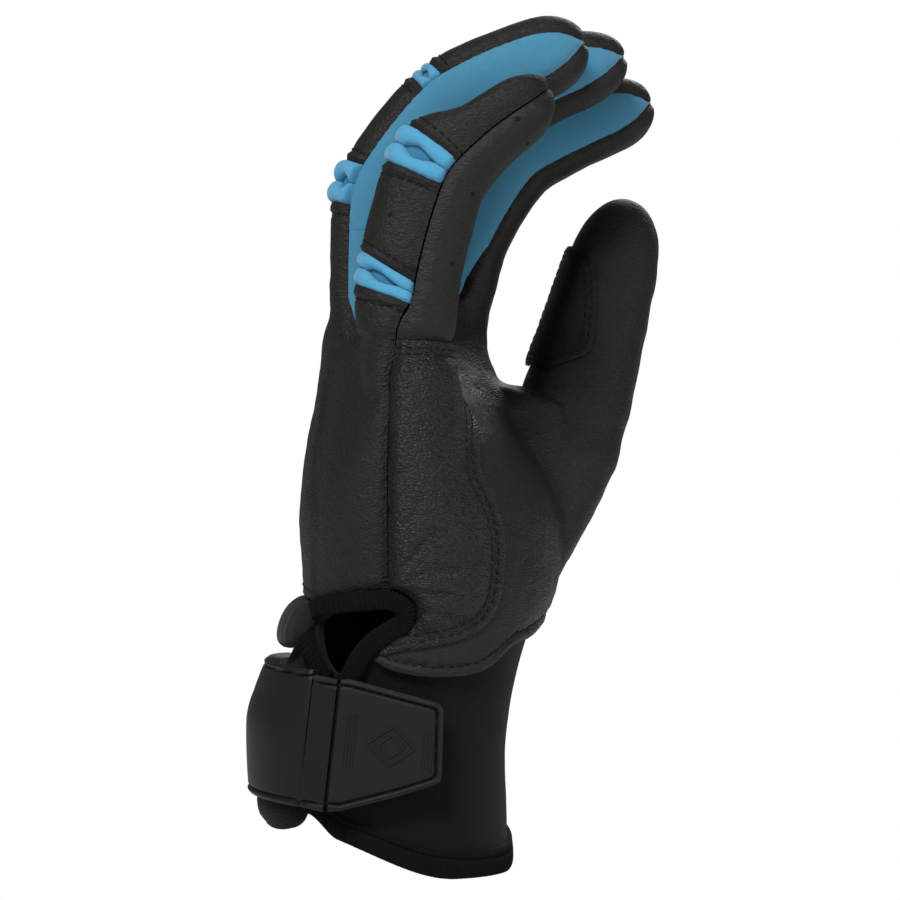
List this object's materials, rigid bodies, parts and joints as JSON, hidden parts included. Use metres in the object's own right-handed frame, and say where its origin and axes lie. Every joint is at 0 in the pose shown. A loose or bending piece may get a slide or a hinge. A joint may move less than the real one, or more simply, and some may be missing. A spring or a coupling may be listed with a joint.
{
  "type": "batting glove",
  "caption": "Padded leather batting glove with stretch finger sides, flex bands over the joints and a moulded wrist strap that folds open.",
  "frame": {"origin": "middle of the cuff's mouth, which is the way in for the hand", "axes": "+Z from the cuff to the fingers, +X out of the palm, +Y from the little finger to the thumb"},
  "size_m": [0.1014, 0.1, 0.2013],
  "materials": {
    "leather_black": "grained, satin",
    "stretch_blue": "fine knit, matt",
    "stretch_black": "twill, matt",
    "rib_black": "rib knit, matt",
    "rubber_black": "moulded, satin",
    "hook_black": "hook and loop, matt",
    "foam_grey": "closed-cell foam, matt"
  },
  "bodies": {
    "hand": {"back_panel": "leather_black", "palm_panel": "leather_black", "fork_pinky_ring": "stretch_blue", "fork_ring_middle": "stretch_blue", "fork_middle_index": "stretch_blue", "heel_foam": "foam_grey", "heel_patch": "leather_black", "cuff_sleeve": "stretch_black", "cuff_hem": "rib_black", "notch_binding": "rib_black", "wrist_roll": "stretch_black", "wrist_tab": "stretch_black", "strap_panel": "rubber_black", "loop_pad": "hook_black", "thumb_gusset": "leather_black", "pinky_lower_flex": "stretch_blue", "ring_lower_flex": "stretch_blue", "middle_lower_flex": "stretch_blue", "index_lower_flex": "stretch_blue"},
    "pinky_mid": {"pinky_mid_back": "leather_black", "pinky_mid_palm": "leather_black", "pinky_mid_side_radial": "stretch_blue", "pinky_upper_flex": "stretch_blue"},
    "pinky_tip": {"pinky_tip_back": "leather_black", "pinky_tip_palm": "leather_black", "pinky_tip_side_radial": "stretch_blue"},
    "ring_mid": {"ring_mid_back": "leather_black", "ring_mid_palm": "leather_black", "ring_mid_side_ulnar": "stretch_blue", "ring_mid_side_radial": "stretch_blue", "ring_upper_flex": "stretch_blue"},
    "ring_tip": {"ring_tip_back": "leather_black", "ring_tip_palm": "leather_black", "ring_tip_side_ulnar": "stretch_blue", "ring_tip_side_radial": "stretch_blue"},
    "middle_mid": {"middle_mid_back": "leather_black", "middle_mid_palm": "leather_black", "middle_mid_side_ulnar": "stretch_blue", "middle_mid_side_radial": "stretch_blue", "middle_upper_flex": "stretch_blue"},
    "middle_tip": {"middle_tip_back": "leather_black", "middle_tip_palm": "leather_black", "middle_tip_side_ulnar": "stretch_blue", "middle_tip_side_radial": "stretch_blue"},
    "index_mid": {"index_mid_back": "leather_black", "index_mid_palm": "leather_black", "index_mid_side_ulnar": "stretch_blue", "index_upper_flex": "stretch_blue"},
    "index_tip": {"index_tip_back": "leather_black", "index_tip_palm": "leather_black", "index_tip_side_ulnar": "stretch_blue"},
    "thumb": {"thumb_shell": "leather_black", "thumb_patch": "leather_black"},
    "strap_bar": {"strap_bar": "rubber_black"},
    "strap_tip": {"strap_tip": "rubber_black", "hook_pad": "hook_black"}
  },
  "joints": [
    {"name": "pinky_knuckle", "type": "hinge", "parent": "hand", "child": "pinky_mid", "pos_m": [0.0162, -0.0329, 0.1282], "axis": [0, 1, 0], "range_deg": [-12, 32], "deforming": ["pinky_lower_flex"]},
    {"name": "pinky_middle_joint", "type": "hinge", "parent": "pinky_mid", "child": "pinky_tip", "pos_m": [0.022, -0.0329, 0.1515], "axis": [0, 1, 0], "range_deg": [-22, 28], "deforming": ["pinky_upper_flex"]},
    {"name": "ring_knuckle", "type": "hinge", "parent": "hand", "child": "ring_mid", "pos_m": [0.0087, -0.011, 0.1497], "axis": [0, 1, 0], "range_deg": [-26, 32], "deforming": ["ring_lower_flex"]},
    {"name": "ring_middle_joint", "type": "hinge", "parent": "ring_mid", "child": "ring_tip", "pos_m": [0.0212, -0.011, 0.1658], "axis": [0, 1, 0], "range_deg": [-12, 34], "deforming": ["ring_upper_flex"]},
    {"name": "middle_knuckle", "type": "hinge", "parent": "hand", "child": "middle_mid", "pos_m": [0.0101, 0.0109, 0.1467], "axis": [0, 1, 0], "range_deg": [-28, 32], "deforming": ["middle_lower_flex"]},
    {"name": "middle_middle_joint", "type": "hinge", "parent": "middle_mid", "child": "middle_tip", "pos_m": [0.0253, 0.0109, 0.1642], "axis": [0, 1, 0], "range_deg": [-12, 34], "deforming": ["middle_upper_flex"]},
    {"name": "index_knuckle", "type": "hinge", "parent": "hand", "child": "index_mid", "pos_m": [0.0276, 0.0328, 0.1405], "axis": [0, 1, 0], "range_deg": [-12, 8], "deforming": ["index_lower_flex"]},
    {"name": "index_middle_joint", "type": "hinge", "parent": "index_mid", "child": "index_tip", "pos_m": [0.0381, 0.0328, 0.158], "axis": [0, 1, 0], "range_deg": [-22, 16], "deforming": ["index_upper_flex"]},
    {"name": "thumb_swing", "type": "hinge", "parent": "hand", "child": "thumb", "pos_m": [0.0325, 0.037, 0.1088], "axis": [0, 1, 0], "range_deg": [-8, 10], "deforming": ["thumb_gusset"]},
    {"name": "strap_fold", "type": "hinge", "parent": "hand", "child": "strap_bar", "pos_m": [-0.0189, -0.0324, 0.0263], "axis": [-0.1097, 0, -0.994], "range_deg": [0, 50]},
    {"name": "strap_tip_fold", "type": "hinge", "parent": "strap_bar", "child": "strap_tip", "pos_m": [-0.0129, -0.0359, 0.0256], "axis": [-0.1097, 0, -0.994], "range_deg": [0, 95]}
  ]
}
